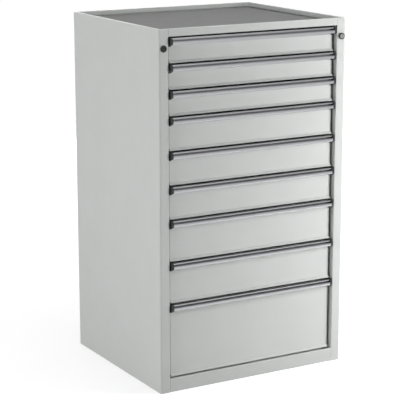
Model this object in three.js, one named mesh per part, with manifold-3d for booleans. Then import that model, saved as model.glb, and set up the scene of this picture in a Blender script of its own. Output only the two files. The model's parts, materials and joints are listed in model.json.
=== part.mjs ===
// An industrial drawer cabinet: a case folded from sheet steel, nine drawers on fixed rails with a
// grip handle across each front, a recessed top with a mat, and a key lock that lifts a locking bar.
// Millimetres. +Z is up and the drawers open towards -Y. The origin is on the floor, under the
// middle of the whole outline, handles included.
import * as THREE from "three";
import { mergeVertices } from "three/addons/utils/BufferGeometryUtils.js";
import Module from "manifold-3d";

// Case
const CASE_WIDTH = 632;
const CASE_DEPTH = 548; // from the front faces of the posts to the back
const CASE_SHEET = 1.5;
const CORNER_RADIUS = 6; // the outer radius of the two front corners
const EDGE_RADIUS = 2.2; // the outer radius of every other bend of the case
const POST_WIDTH = 31;
const POST_RETURN = 21; // how far a post is folded back beside the drawers
const REAR_FLANGE = 25;
const TOP_RAIL_HEIGHT = 22.5;
const TOP_RAIL_RETURN = 20;
const BOTTOM_RAIL_HEIGHT = 42;
const BOTTOM_RAIL_RETURN = 25;
const FOOT_WIDTH = 40; // the flanges that the base stands on

// Recessed top
const TRAY_DROP = 19; // from the rim to the tray's floor
const TRAY_FLANGE = 10;
const RIM_WIDTH = 8; // the rim along each side
const HEM_WIDTH = 4.5; // the thin rim at the front and the back
const MAT_THICKNESS = 2;
const MAT_EDGE_GAP = 1.5;

// Drawers, from the top down: each step is one front with the gap above it
const LOW_STEP = 75;
const MIDDLE_STEP = 100;
const HIGH_STEP = 125;
const TALL_STEP = 225;
const FRONT_STEPS = [
  ...[LOW_STEP, LOW_STEP, LOW_STEP],
  ...[MIDDLE_STEP, MIDDLE_STEP, MIDDLE_STEP],
  ...[HIGH_STEP, HIGH_STEP],
  TALL_STEP,
];
const BOTTOM_GAP = 2.5; // under the lowest front
const FRONT_RECESS = 12.4; // the fronts lie this far behind the posts' faces
const FRONT_SIDE_GAP = 7.1;
const FRONT_TOP_DROP = 8;
const FRONT_DEPTH = 12.6;
const DRAWER_SHEET = 1.2;
const FRONT_RADIUS = 2.5;
const BOX_SIDE_GAP = 20; // between a drawer's side and the post's edge
const BOX_TOP_DROP = 12;
const BOX_LIFT = 5; // the box's floor above the lower edge of its step
const BOX_REAR_GAP = 20;

// Rails and the runners that slide in them
const RUNNER_DROP = 30; // from the top of a step to the runner's shelf
const RUNNER_WIDTH = 16;
const RUNNER_HEIGHT = 10;
const RUNNER_PLAY = 1.5;
const RAIL_SHEET = 1.5;
const RAIL_LEDGE_GAP = 2; // between a ledge's edge and the drawer's side
const RAIL_LIP = 8;
const RAIL_BEND_RADIUS = 2;
const UPRIGHT_DEPTH = 30;

// Handles
const HANDLE_DEPTH = 19; // from the drawer front's face to the handle's nose
const HANDLE_HEIGHT = 18.4;
const HANDLE_DROP = 3.3;
const HANDLE_END_GAP = 4.8; // between a cap and the post beside it
const HANDLE_WALL = 1.6;
const BEAD_WIDTH = 3.4;
const BEAD_HEIGHT = 4.5;
const BEAD_DROP = 1; // the bead's top under the caps' top
const BEAD_SETBACK = 5;
const GROOVE_DEPTH = 6.4;
const GROOVE_HEIGHT = 3.4;
const GUTTER_DEPTH = 4.7; // the channel behind the bead
const BAND_BULGE = 0.9;
const LEG_HEIGHT = 18; // the part that is screwed to the drawer front
const CAP_WIDTH = 7;
const CAP_TOP_RADIUS = 8;
const CAP_TOE_RADIUS = 3;
const CAP_HEEL_DROP = 27; // the cap's height at the drawer front

// Lock, plug and locking bar
const LOCK_DROP = 55; // from the top of the case to the lock's axis
const LOCK_HOLE_RADIUS = 8.3;
const LOCK_SHANK_RADIUS = 8;
const LOCK_HEAD_RADIUS = 9.6;
const LOCK_HEAD_CHAMFER = 1;
const LOCK_PROUD = 5;
const LOCK_BODY = 15; // from the post's face back to the end of the lock's body
const BARREL_RADIUS = 6;
const BORE_RADIUS = 6.3;
const KEYWAY_WIDTH = 2.2;
const KEYWAY_HEIGHT = 8;
const KEYWAY_DEPTH = 3;
const NUT_ACROSS_FLATS = 20;
const NUT_THICKNESS = 4;
const CRANK_THICKNESS = 3;
const CRANK_WIDTH = 7;
const PIN_RADIUS = 2;
const PIN_PLAY = 0.5;
const LOCK_TURN_DEGREES = 90;
const PLUG_HEAD_RADIUS = 10;
const PLUG_HEAD_HEIGHT = 2;
const PLUG_EDGE = 0.8;
const PLUG_DISH_RADIUS = 5;
const PLUG_DISH_DEPTH = 0.7;
const PLUG_LENGTH = 8;
const BAR_WIDTH = 16;
const BAR_THICKNESS = 3;
const BAR_TRAVEL = 10;
const BAR_FRONT_GAP = 1; // between the bar and the back of the drawer fronts
const BAR_POST_GAP = 1;
const BAR_END = 12; // the bar beyond its window and beyond its lowest tooth
const TOOTH_HEIGHT = 6;
const TOOTH_TIP_GAP = 7; // between a tooth and the drawer's side
const LUG_DROP = 48;
const LUG_HEIGHT = 8;
const LUG_DEPTH = 7.5;
const LUG_GAP = 1.5; // between a drawer's lug and the raised tooth in front of it
const LUG_LIFT = 2; // between a lug and the lowered tooth under it

const SEAT_GAP = 0.3; // between pieces that touch
const OVERRUN = 1; // how far cutting and joining solids run past each other
const BEND_STEPS = 3;
const RAIL_BEND_STEPS = 1;
const CORNER_STEPS = 6;
const ROUND_STEPS = 32;

// Heights and planes that several pieces share. Y counts back from the posts' front faces.
const STACK_BOTTOM = BOTTOM_RAIL_HEIGHT + BOTTOM_GAP;
const STACK_TOP = FRONT_STEPS.reduce((height, step) => height + step, STACK_BOTTOM);
const CASE_HEIGHT = STACK_TOP + TOP_RAIL_HEIGHT;
const TRAY_FLOOR = CASE_HEIGHT - TRAY_DROP;
const RIM_FOOT = TRAY_FLOOR + SEAT_GAP;
const SIDE_X = CASE_WIDTH / 2;
const POST_X = SIDE_X - POST_WIDTH;
const FIT_X = SIDE_X - CASE_SHEET - SEAT_GAP; // the half width of what fits between the sides
const BACK_FACE = CASE_DEPTH - CASE_SHEET - SEAT_GAP;
const BACK_INNER = BACK_FACE - CASE_SHEET;
const HANDLE_PROUD = HANDLE_DEPTH - FRONT_RECESS;
const BOX_X = POST_X - BOX_SIDE_GAP;
const BOX_FRONT = FRONT_RECESS + FRONT_DEPTH + SEAT_GAP;
const BAR_Y = FRONT_RECESS + FRONT_DEPTH + BAR_FRONT_GAP;
const BAR_X = POST_X + BAR_POST_GAP;
const RACK_Y = BAR_Y + BAR_THICKNESS + SEAT_GAP;
const LOCK_X = SIDE_X - POST_WIDTH / 2;
const LOCK_Z = CASE_HEIGHT - LOCK_DROP;

// The top of each drawer's step, from the top drawer down.
const STEP_TOPS = FRONT_STEPS.map((_, i) =>
  FRONT_STEPS.slice(0, i).reduce((height, step) => height - step, STACK_TOP),
);

// Finishes
const finish = (color, roughness, metalness) =>
  new THREE.MeshStandardMaterial({ color, roughness, metalness });
const casePaint = finish(0xb9bcba, 0.55, 0);
const frontPaint = finish(0xc0c3c1, 0.5, 0);
const zincSteel = finish(0x9a9da0, 0.45, 0.9);
const aluminium = finish(0xb4b4ba, 0.35, 0.9);
const blackPlastic = finish(0x1e1f1f, 0.5, 0);
const matRubber = finish(0x5c5d5d, 0.85, 0);
const lockNickel = finish(0x8c8d8e, 0.3, 1);

// Solids
const wasm = await Module();
wasm.setup();

function solidOf(geometry) {
  const bare = geometry.clone();
  bare.deleteAttribute("normal");
  bare.deleteAttribute("uv");
  const merged = mergeVertices(bare);
  return new wasm.Manifold(
    new wasm.Mesh({
      numProp: 3,
      vertProperties: merged.attributes.position.array,
      triVerts: new Uint32Array(merged.index.array),
    }),
  );
}

function geometryOf(solid) {
  const { vertProperties, triVerts } = solid.getMesh();
  const indexed = new THREE.BufferGeometry();
  indexed.setAttribute("position", new THREE.BufferAttribute(vertProperties, 3));
  indexed.setIndex(new THREE.BufferAttribute(triVerts, 1));
  const faceted = indexed.toNonIndexed();
  faceted.computeVertexNormals();
  return faceted;
}

const joined = (...geometries) =>
  geometryOf(geometries.map(solidOf).reduce((whole, next) => whole.add(next)));

const cutFrom = (geometry, ...tools) =>
  geometryOf(tools.map(solidOf).reduce((left, tool) => left.subtract(tool), solidOf(geometry)));

const common = (a, b) => geometryOf(solidOf(a).intersect(solidOf(b)));

// A block between two values on each axis.
function block([x0, x1], [y0, y1], [z0, z1]) {
  const geometry = new THREE.BoxGeometry(x1 - x0, y1 - y0, z1 - z0);
  return geometry.translate((x0 + x1) / 2, (y0 + y1) / 2, (z0 + z1) / 2);
}

// An outline carried along one axis. Its pairs are (y, z) along x, (x, z) along y, (x, y) along z.
function prism(outline, along, from, to) {
  const shape = new THREE.Shape(outline.map(([u, v]) => new THREE.Vector2(u, v)));
  const geometry = new THREE.ExtrudeGeometry(shape, { depth: to - from, bevelEnabled: false });
  if (along === "z") return geometry.translate(0, 0, from);
  if (along === "y") return geometry.rotateX(Math.PI / 2).translate(0, to, 0);
  const [toX, toY, toZ] = [0, 1, 2].map((i) => new THREE.Vector3().setComponent(i, 1));
  return geometry.applyMatrix4(new THREE.Matrix4().makeBasis(toY, toZ, toX)).translate(from, 0, 0);
}

// A round bar along y.
const rod = (radius, [x, z], y0, y1) =>
  new THREE.CylinderGeometry(radius, radius, y1 - y0, ROUND_STEPS).translate(x, (y0 + y1) / 2, z);

// A profile of (radius, y) pairs turned about an axis along y.
const turned = (profile) =>
  new THREE.LatheGeometry(
    profile.map(([radius, y]) => new THREE.Vector2(radius, y)),
    ROUND_STEPS,
  );

// Points on an arc, from one angle to another in degrees.
function arc([u, v], radius, fromDegrees, toDegrees, steps) {
  return Array.from({ length: steps + 1 }, (_, i) => {
    const angle = THREE.MathUtils.degToRad(THREE.MathUtils.lerp(fromDegrees, toDegrees, i / steps));
    return [u + radius * Math.cos(angle), v + radius * Math.sin(angle)];
  });
}

// The outline of a folded sheet. The corners follow one face, and the sheet's thickness lies to the
// left of the way they run. A corner's third value is the outer radius of its bend, if not the usual.
function folded(corners, thickness, usualRadius, steps = BEND_STEPS) {
  const face = [];
  const back = [];
  const points = corners.map(([u, v]) => new THREE.Vector2(u, v));
  corners.forEach(([, , ownRadius], i) => {
    const here = points[i];
    const before = points[i - 1] ?? here;
    const after = points[i + 1] ?? here;
    const arriving = (i ? here.clone().sub(before) : after.clone().sub(here)).normalize();
    const left = new THREE.Vector2(-arriving.y, arriving.x);
    if (before === here || after === here) {
      face.push(here.toArray());
      back.push(here.clone().addScaledVector(left, thickness).toArray());
      return;
    }
    const leaving = after.clone().sub(here).normalize();
    const turn = Math.atan2(arriving.cross(leaving), arriving.dot(leaving));
    const outer = ownRadius ?? usualRadius;
    const [faceRadius, backRadius] = turn > 0 ? [outer, outer - thickness] : [outer - thickness, outer];
    const toCentre = left.clone().multiplyScalar(Math.sign(turn));
    const centre = here
      .clone()
      .addScaledVector(arriving, -faceRadius * Math.tan(Math.abs(turn) / 2))
      .addScaledVector(toCentre, faceRadius);
    for (let step = 0; step <= steps; step += 1) {
      const out = toCentre.clone().negate().rotateAround(new THREE.Vector2(), (turn * step) / steps);
      face.push(centre.clone().addScaledVector(out, faceRadius).toArray());
      back.push(centre.clone().addScaledVector(out, backRadius).toArray());
    }
  });
  return [...face, ...back.reverse()];
}

// The right half of the case's plan, drawn in by an inset on its outer sides, as a tall prism.
function planPrism(inset) {
  const radius = CORNER_RADIUS - inset;
  const corner = [SIDE_X - CORNER_RADIUS, CORNER_RADIUS];
  const outline = [
    [0, inset],
    ...arc(corner, radius, -90, 0, CORNER_STEPS),
    [SIDE_X - inset, CASE_DEPTH],
    [0, CASE_DEPTH],
  ];
  return prism(outline, "z", -OVERRUN, CASE_HEIGHT + OVERRUN);
}

// A geometry joined with its own mirror image across the middle of the cabinet.
function withMirror(geometry) {
  const other = geometry.clone().applyMatrix4(new THREE.Matrix4().makeScale(-1, 1, 1));
  return joined(geometry, flipped(other));
}

// The same surface with every triangle turned round.
function flipped(geometry) {
  const loose = geometry.index ? geometry.toNonIndexed() : geometry;
  const places = loose.attributes.position;
  for (let i = 0; i < places.count; i += 3) {
    const second = new THREE.Vector3().fromBufferAttribute(places, i + 1);
    const third = new THREE.Vector3().fromBufferAttribute(places, i + 2);
    places.setXYZ(i + 1, ...third.toArray());
    places.setXYZ(i + 2, ...second.toArray());
  }
  return loose;
}

// The hem along the front or the back edge: its outline from the foot inside, over the top and down
// the outer face to a given height.
const frontHem = (foot) => [
  [HEM_WIDTH, RIM_FOOT],
  [HEM_WIDTH, CASE_HEIGHT],
  [0, CASE_HEIGHT],
  ...foot,
];

// Case pieces. The right side is modelled, and a mirrored group holds the left one.
function sidePanel() {
  const sideAndBack = [
    [SIDE_X, 0, CORNER_RADIUS],
    [SIDE_X, CASE_DEPTH],
    [SIDE_X - REAR_FLANGE, CASE_DEPTH],
  ];
  const postTop = TRAY_FLOOR - CASE_SHEET - SEAT_GAP;
  const belowTray = prism(
    folded([[POST_X, POST_RETURN], [POST_X, 0], ...sideAndBack], CASE_SHEET, EDGE_RADIUS, CORNER_STEPS),
    "z",
    0,
    postTop,
  );
  const aboveTray = prism(
    folded([[POST_X, 0], ...sideAndBack], CASE_SHEET, EDGE_RADIUS, CORNER_STEPS),
    "z",
    postTop - OVERRUN,
    CASE_HEIGHT - EDGE_RADIUS,
  );
  const rim = folded(
    [
      [SIDE_X, postTop],
      [SIDE_X, CASE_HEIGHT],
      [SIDE_X - RIM_WIDTH, CASE_HEIGHT],
      [SIDE_X - RIM_WIDTH, RIM_FOOT],
    ],
    CASE_SHEET,
    EDGE_RADIUS,
  );
  const hem = folded(frontHem([[0, postTop]]), CASE_SHEET, EDGE_RADIUS);
  const upper = joined(
    aboveTray,
    prism(rim, "y", 0, BACK_FACE - HEM_WIDTH - SEAT_GAP),
    prism(hem, "x", POST_X, SIDE_X),
  );
  const lockHole = rod(LOCK_HOLE_RADIUS, [LOCK_X, LOCK_Z], -OVERRUN, CASE_SHEET + OVERRUN);
  return cutFrom(joined(belowTray, common(upper, planPrism(0))), lockHole);
}

function backPanel() {
  const outline = folded(
    [
      [BACK_FACE, 0],
      [BACK_FACE, CASE_HEIGHT],
      [BACK_FACE - HEM_WIDTH, CASE_HEIGHT],
      [BACK_FACE - HEM_WIDTH, RIM_FOOT],
    ],
    CASE_SHEET,
    EDGE_RADIUS,
  );
  return prism(outline, "x", -FIT_X, FIT_X);
}

function topPanel() {
  const half = folded(
    [
      [FIT_X, TRAY_FLOOR - TRAY_FLANGE],
      [FIT_X, TRAY_FLOOR],
      [-OVERRUN, TRAY_FLOOR],
    ],
    CASE_SHEET,
    EDGE_RADIUS,
  );
  const inset = CASE_SHEET + SEAT_GAP;
  const sheet = prism(half, "y", inset, BACK_INNER - SEAT_GAP);
  return withMirror(common(sheet, planPrism(inset)));
}

function topMat() {
  const halfWidth = SIDE_X - RIM_WIDTH - MAT_EDGE_GAP;
  const front = HEM_WIDTH + MAT_EDGE_GAP;
  const rear = BACK_FACE - HEM_WIDTH - MAT_EDGE_GAP;
  const underside = TRAY_FLOOR + SEAT_GAP;
  return block([-halfWidth, halfWidth], [front, rear], [underside, underside + MAT_THICKNESS]);
}

function topFrontRail() {
  const returned = [
    [0, STACK_TOP],
    [TOP_RAIL_RETURN, STACK_TOP],
  ];
  const outline = folded(frontHem(returned), CASE_SHEET, EDGE_RADIUS);
  return prism(outline, "x", SEAT_GAP - POST_X, POST_X - SEAT_GAP);
}

function bottomFrontRail() {
  const outline = folded(
    [
      [BOTTOM_RAIL_RETURN, BOTTOM_RAIL_HEIGHT],
      [0, BOTTOM_RAIL_HEIGHT],
      [0, 0],
      [BOTTOM_RAIL_RETURN, 0],
    ],
    CASE_SHEET,
    EDGE_RADIUS,
  );
  return prism(outline, "x", SEAT_GAP - POST_X, POST_X - SEAT_GAP);
}

function basePanel() {
  const outline = folded(
    [
      [FIT_X - FOOT_WIDTH, 0],
      [FIT_X, 0],
      [FIT_X, BOTTOM_RAIL_HEIGHT],
      [-FIT_X, BOTTOM_RAIL_HEIGHT],
      [-FIT_X, 0],
      [FOOT_WIDTH - FIT_X, 0],
    ],
    CASE_SHEET,
    EDGE_RADIUS,
  );
  return prism(outline, "y", BOTTOM_RAIL_RETURN + SEAT_GAP, BACK_INNER - SEAT_GAP);
}

// Two uprights and the rails that they carry: each rail is a channel that is open to the drawer.
function runnerRack() {
  const railFace = BOX_X + RUNNER_WIDTH + RUNNER_PLAY;
  const uprightX = railFace + RAIL_SHEET / 2;
  const rear = BACK_INNER - SEAT_GAP;
  const foot = BOTTOM_RAIL_HEIGHT + SEAT_GAP;
  const head = TRAY_FLOOR - TRAY_FLANGE - SEAT_GAP;
  const upright = (y) =>
    prism(
      folded(
        [
          [FIT_X, y + UPRIGHT_DEPTH],
          [uprightX, y + UPRIGHT_DEPTH],
          [uprightX, y],
          [FIT_X, y],
        ],
        RAIL_SHEET,
        RAIL_BEND_RADIUS,
        RAIL_BEND_STEPS,
      ),
      "z",
      foot,
      head,
    );
  const rails = STEP_TOPS.map((top) => {
    const ledge = top - RUNNER_DROP - DRAWER_SHEET - SEAT_GAP - RAIL_SHEET;
    const lip = top - RUNNER_DROP + RUNNER_HEIGHT + RUNNER_PLAY + RAIL_SHEET;
    const outline = folded(
      [
        [BOX_X + RAIL_LEDGE_GAP, ledge],
        [railFace + RAIL_SHEET, ledge],
        [railFace + RAIL_SHEET, lip],
        [railFace - RAIL_LIP, lip],
      ],
      RAIL_SHEET,
      RAIL_BEND_RADIUS,
      RAIL_BEND_STEPS,
    );
    return prism(outline, "y", RACK_Y, rear);
  });
  return joined(upright(RACK_Y), upright(rear - UPRIGHT_DEPTH), ...rails);
}

// The lock: a threaded body with a head, a nut behind the post, and a barrel with a cranked pin that
// stands in the locking bar's window.
function lockHousing() {
  const head = LOCK_HEAD_RADIUS - LOCK_HEAD_CHAMFER;
  const profile = [
    [BORE_RADIUS, -LOCK_PROUD],
    [head, -LOCK_PROUD],
    [LOCK_HEAD_RADIUS, LOCK_HEAD_CHAMFER - LOCK_PROUD],
    [LOCK_HEAD_RADIUS, -SEAT_GAP],
    [LOCK_SHANK_RADIUS, -SEAT_GAP],
    [LOCK_SHANK_RADIUS, LOCK_BODY],
    [BORE_RADIUS, LOCK_BODY],
    [BORE_RADIUS, -LOCK_PROUD],
  ];
  return turned(profile).translate(LOCK_X, 0, LOCK_Z);
}

function lockNut() {
  const corner = NUT_ACROSS_FLATS / 2 / Math.cos(Math.PI / 6);
  const front = CASE_SHEET + SEAT_GAP;
  const rear = front + NUT_THICKNESS;
  const hexagon = new THREE.CylinderGeometry(corner, corner, NUT_THICKNESS, 6);
  hexagon.translate(LOCK_X, (front + rear) / 2, LOCK_Z);
  const thread = rod(LOCK_HOLE_RADIUS, [LOCK_X, LOCK_Z], front - OVERRUN, rear + OVERRUN);
  return cutFrom(hexagon, thread);
}

// The pin turns evenly about the middle of its lift, so its circle follows from the bar's travel.
const crankStart = THREE.MathUtils.degToRad(LOCK_TURN_DEGREES / 2);
const CRANK_RADIUS = BAR_TRAVEL / 2 / Math.sin(crankStart);
const pinAtRest = [LOCK_X - CRANK_RADIUS * Math.cos(crankStart), LOCK_Z - BAR_TRAVEL / 2];

function lockBarrel() {
  const crankY = LOCK_BODY + SEAT_GAP;
  const crankEnd = crankY + CRANK_THICKNESS;
  const crank = block(
    [-CRANK_RADIUS, 0],
    [crankY, crankEnd],
    [-CRANK_WIDTH / 2, CRANK_WIDTH / 2],
  );
  crank.rotateY(-crankStart).translate(LOCK_X, 0, LOCK_Z);
  const whole = joined(
    rod(BARREL_RADIUS, [LOCK_X, LOCK_Z], -LOCK_PROUD, crankEnd),
    crank,
    rod(CRANK_WIDTH / 2, pinAtRest, crankY, crankEnd),
    rod(PIN_RADIUS, pinAtRest, crankY, BAR_Y + BAR_THICKNESS),
  );
  const keyway = block(
    [LOCK_X - KEYWAY_WIDTH / 2, LOCK_X + KEYWAY_WIDTH / 2],
    [-LOCK_PROUD - OVERRUN, KEYWAY_DEPTH - LOCK_PROUD],
    [LOCK_Z - KEYWAY_HEIGHT / 2, LOCK_Z + KEYWAY_HEIGHT / 2],
  );
  return cutFrom(whole, keyway);
}

function blankingPlug() {
  const face = -SEAT_GAP - PLUG_HEAD_HEIGHT;
  const profile = [
    [0, face + PLUG_DISH_DEPTH],
    [PLUG_DISH_RADIUS, face + PLUG_DISH_DEPTH],
    [PLUG_DISH_RADIUS + PLUG_DISH_DEPTH, face],
    [PLUG_HEAD_RADIUS - PLUG_EDGE, face],
    [PLUG_HEAD_RADIUS, face + PLUG_EDGE],
    [PLUG_HEAD_RADIUS, -SEAT_GAP],
    [LOCK_SHANK_RADIUS, -SEAT_GAP],
    [LOCK_SHANK_RADIUS, PLUG_LENGTH],
    [0, PLUG_LENGTH],
  ];
  return turned(profile).translate(LOCK_X, 0, LOCK_Z);
}

// A flat comb: a strip with a window for the lock's pin and one tooth for each drawer.
function lockBar() {
  const tip = BOX_X + TOOTH_TIP_GAP;
  const teeth = [...STEP_TOPS].reverse().flatMap((top) => {
    const upper = top - LUG_DROP - LUG_HEIGHT - LUG_LIFT;
    const lower = upper - TOOTH_HEIGHT;
    return [
      [BAR_X, lower],
      [tip, lower],
      [tip, upper],
      [BAR_X, upper],
    ];
  });
  const [pinX, pinZ] = pinAtRest;
  const foot = teeth[0][1] - BAR_END;
  const head = pinZ + BAR_END;
  const outline = [
    ...teeth,
    [BAR_X, head],
    [BAR_X + BAR_WIDTH, head],
    [BAR_X + BAR_WIDTH, foot],
    [BAR_X, foot],
  ];
  const reach = PIN_RADIUS + PIN_PLAY;
  const pinSwing = CRANK_RADIUS - CRANK_RADIUS * Math.cos(crankStart);
  const window = block(
    [pinX - pinSwing - reach, pinX + reach],
    [BAR_Y - OVERRUN, BAR_Y + BAR_THICKNESS + OVERRUN],
    [pinZ - reach, pinZ + reach],
  );
  return cutFrom(prism(outline, "y", BAR_Y, BAR_Y + BAR_THICKNESS), window);
}

// Drawer pieces. A drawer's own heights count down from the top of its step.
function drawerFront(step) {
  const half = POST_X - FRONT_SIDE_GAP;
  const inside = half - DRAWER_SHEET;
  const pan = folded(
    [
      [-half, FRONT_DEPTH],
      [-half, 0],
      [half, 0],
      [half, FRONT_DEPTH],
    ],
    DRAWER_SHEET,
    FRONT_RADIUS,
  );
  const edge = (z) =>
    block([-inside, inside], [DRAWER_SHEET / 2, FRONT_DEPTH], [z, z + DRAWER_SHEET]);
  return joined(
    prism(pan, "z", -step, -FRONT_TOP_DROP),
    edge(-step),
    edge(-FRONT_TOP_DROP - DRAWER_SHEET),
  );
}

function drawerBox(step) {
  const front = BOX_FRONT - FRONT_RECESS;
  const rear = BACK_INNER - BOX_REAR_GAP - FRONT_RECESS;
  const floor = BOX_LIFT - step;
  const brim = -BOX_TOP_DROP;
  const shell = block([-BOX_X, BOX_X], [front, rear], [floor, brim]);
  const hollow = block(
    [DRAWER_SHEET - BOX_X, BOX_X - DRAWER_SHEET],
    [front + DRAWER_SHEET, rear - DRAWER_SHEET],
    [floor + DRAWER_SHEET, brim + OVERRUN],
  );
  const wall = BOX_X - DRAWER_SHEET / 2;
  const runnerEdge = BOX_X + RUNNER_WIDTH;
  const shelf = -RUNNER_DROP;
  const runner = joined(
    block([wall, runnerEdge], [front, rear], [shelf - DRAWER_SHEET, shelf]),
    block(
      [runnerEdge - DRAWER_SHEET, runnerEdge],
      [front, rear],
      [shelf - DRAWER_SHEET, shelf + RUNNER_HEIGHT],
    ),
  );
  const lugFront = RACK_Y - SEAT_GAP + LUG_GAP - FRONT_RECESS;
  const lug = block(
    [wall, runnerEdge],
    [lugFront, lugFront + LUG_DEPTH],
    [-LUG_DROP - LUG_HEIGHT, -LUG_DROP],
  );
  return joined(cutFrom(shell, hollow), withMirror(runner), lug);
}

// The handle's section: a gutter behind a round bead, a deep groove that leads back to the bead, and
// a bulging band whose back is the grip. Forward is -y.
function handleOutline() {
  const nose = -HANDLE_DEPTH;
  const top = -HANDLE_DROP - BEAD_DROP;
  const gutter = top - GUTTER_DEPTH;
  const beadRadius = BEAD_WIDTH / 2;
  const beadFront = nose + BEAD_SETBACK;
  const grooveTop = top - BEAD_HEIGHT;
  const grooveFloor = nose + GROOVE_DEPTH;
  const bandTop = grooveTop - GROOVE_HEIGHT;
  const bandFoot = -HANDLE_DROP - HANDLE_HEIGHT;
  const halfBand = (bandTop - bandFoot) / 2;
  const bandRadius = (halfBand ** 2 + BAND_BULGE ** 2) / (2 * BAND_BULGE);
  const bandSpan = THREE.MathUtils.radToDeg(Math.asin(halfBand / bandRadius));
  const bandY = nose + BAND_BULGE + HANDLE_WALL;
  const ledge = bandTop - HANDLE_WALL;
  const gripY = grooveFloor + HANDLE_WALL;
  const legY = -SEAT_GAP - HANDLE_WALL;
  const legFoot = gutter - LEG_HEIGHT;
  return [
    [-SEAT_GAP, gutter],
    [beadFront + BEAD_WIDTH, gutter],
    ...arc([beadFront + beadRadius, top - beadRadius], beadRadius, 0, 180, CORNER_STEPS),
    [beadFront, grooveTop],
    [grooveFloor, grooveTop],
    [grooveFloor, bandTop],
    ...arc([nose + bandRadius, bandTop - halfBand], bandRadius, 180 - bandSpan, 180 + bandSpan, CORNER_STEPS),
    [bandY, bandFoot],
    [bandY, ledge],
    [gripY, ledge],
    [gripY, gutter - HANDLE_WALL],
    [legY, gutter - HANDLE_WALL],
    [legY, legFoot],
    [-SEAT_GAP, legFoot],
  ];
}

// A cap's side: flat on top, round at the nose and the toe, and sloping down from the toe to the
// drawer front.
function capOutline() {
  const nose = -HANDLE_DEPTH;
  const top = -HANDLE_DROP;
  const toe = top - HANDLE_HEIGHT + CAP_TOE_RADIUS;
  return [
    [-SEAT_GAP, top],
    ...arc([nose + CAP_TOP_RADIUS, top - CAP_TOP_RADIUS], CAP_TOP_RADIUS, 90, 180, CORNER_STEPS),
    ...arc([nose + CAP_TOE_RADIUS, toe], CAP_TOE_RADIUS, 180, 270, CORNER_STEPS),
    [-SEAT_GAP, top - CAP_HEEL_DROP],
  ];
}

// Assembly
const cabinet = new THREE.Group();
const posts = new THREE.Group(); // its y = 0 is the plane of the posts' faces
posts.position.y = (HANDLE_PROUD - CASE_DEPTH) / 2;
cabinet.add(posts);
const leftSide = new THREE.Group();
leftSide.scale.x = -1;
posts.add(leftSide);

function add(group, name, geometry, material) {
  const mesh = new THREE.Mesh(geometry, material);
  mesh.name = name;
  group.add(mesh);
}

add(posts, "right_side_panel", sidePanel(), casePaint);
add(leftSide, "left_side_panel", sidePanel(), casePaint);
add(posts, "back_panel", backPanel(), casePaint);
add(posts, "base_panel", basePanel(), casePaint);
add(posts, "bottom_front_rail", bottomFrontRail(), casePaint);
add(posts, "top_front_rail", topFrontRail(), casePaint);
add(posts, "top_panel", topPanel(), casePaint);
add(posts, "top_mat", topMat(), matRubber);
add(posts, "right_runner_rack", runnerRack(), zincSteel);
add(leftSide, "left_runner_rack", runnerRack(), zincSteel);
add(posts, "lock_housing", lockHousing(), lockNickel);
add(posts, "lock_nut", lockNut(), zincSteel);
add(posts, "lock_barrel", lockBarrel(), lockNickel);
add(posts, "lock_bar", lockBar(), zincSteel);
add(leftSide, "blanking_plug", blankingPlug(), blackPlastic);

const capEnd = POST_X - HANDLE_END_GAP;
const capStart = capEnd - CAP_WIDTH;
const handleEnd = capStart - SEAT_GAP;
FRONT_STEPS.forEach((step, i) => {
  const drawer = new THREE.Group();
  drawer.position.set(0, FRONT_RECESS, STEP_TOPS[i]);
  posts.add(drawer);
  const name = (piece) => `drawer_${i + 1}_${piece}`;
  add(drawer, name("front"), drawerFront(step), frontPaint);
  add(drawer, name("box"), drawerBox(step), casePaint);
  add(drawer, name("handle"), prism(handleOutline(), "x", -handleEnd, handleEnd), aluminium);
  add(drawer, name("cap_right"), prism(capOutline(), "x", capStart, capEnd), blackPlastic);
  add(drawer, name("cap_left"), prism(capOutline(), "x", -capEnd, -capStart), blackPlastic);
});

export default cabinet;
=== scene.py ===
# %% [markdown]
# # A steel drawer cabinet
#
# The cabinet is measured already: the CAD model gives every node its place, in metres, with the
# drawers opening towards -Y. This lesson keeps that frame and makes finer surfaces on it: folded
# sheet with round bends, an extruded grip bar, moulded caps and a turned lock. The sizes below are
# written in millimetres, as a sheet metal worker would write them, and are turned to metres once.

import json
import math

import bmesh
import bpy
import numpy as np
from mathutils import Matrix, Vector

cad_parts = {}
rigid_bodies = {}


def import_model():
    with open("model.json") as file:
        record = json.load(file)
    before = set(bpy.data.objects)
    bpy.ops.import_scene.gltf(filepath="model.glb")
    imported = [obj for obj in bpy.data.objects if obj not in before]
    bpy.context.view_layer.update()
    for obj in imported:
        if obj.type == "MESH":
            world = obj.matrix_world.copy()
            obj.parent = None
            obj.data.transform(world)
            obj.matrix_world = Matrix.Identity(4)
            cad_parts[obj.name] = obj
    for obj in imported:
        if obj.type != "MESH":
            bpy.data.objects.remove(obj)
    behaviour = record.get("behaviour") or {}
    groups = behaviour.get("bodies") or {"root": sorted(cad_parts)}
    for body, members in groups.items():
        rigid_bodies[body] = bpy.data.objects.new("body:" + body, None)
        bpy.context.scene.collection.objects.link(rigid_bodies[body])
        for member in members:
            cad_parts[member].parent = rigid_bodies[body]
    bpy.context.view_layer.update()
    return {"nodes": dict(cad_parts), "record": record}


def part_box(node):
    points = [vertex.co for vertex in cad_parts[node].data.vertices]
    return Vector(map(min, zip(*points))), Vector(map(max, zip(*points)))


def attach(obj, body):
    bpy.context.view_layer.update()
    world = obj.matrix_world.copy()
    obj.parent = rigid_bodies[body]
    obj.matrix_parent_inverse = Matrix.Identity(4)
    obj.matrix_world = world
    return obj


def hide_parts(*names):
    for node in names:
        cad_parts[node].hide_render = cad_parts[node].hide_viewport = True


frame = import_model()
MM = 0.001
record = frame["record"]


def box_mm(node):
    """The lowest and the highest corner of a CAD node, as arrays in millimetres."""
    low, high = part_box(node)
    return np.array(low) / MM, np.array(high) / MM


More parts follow.
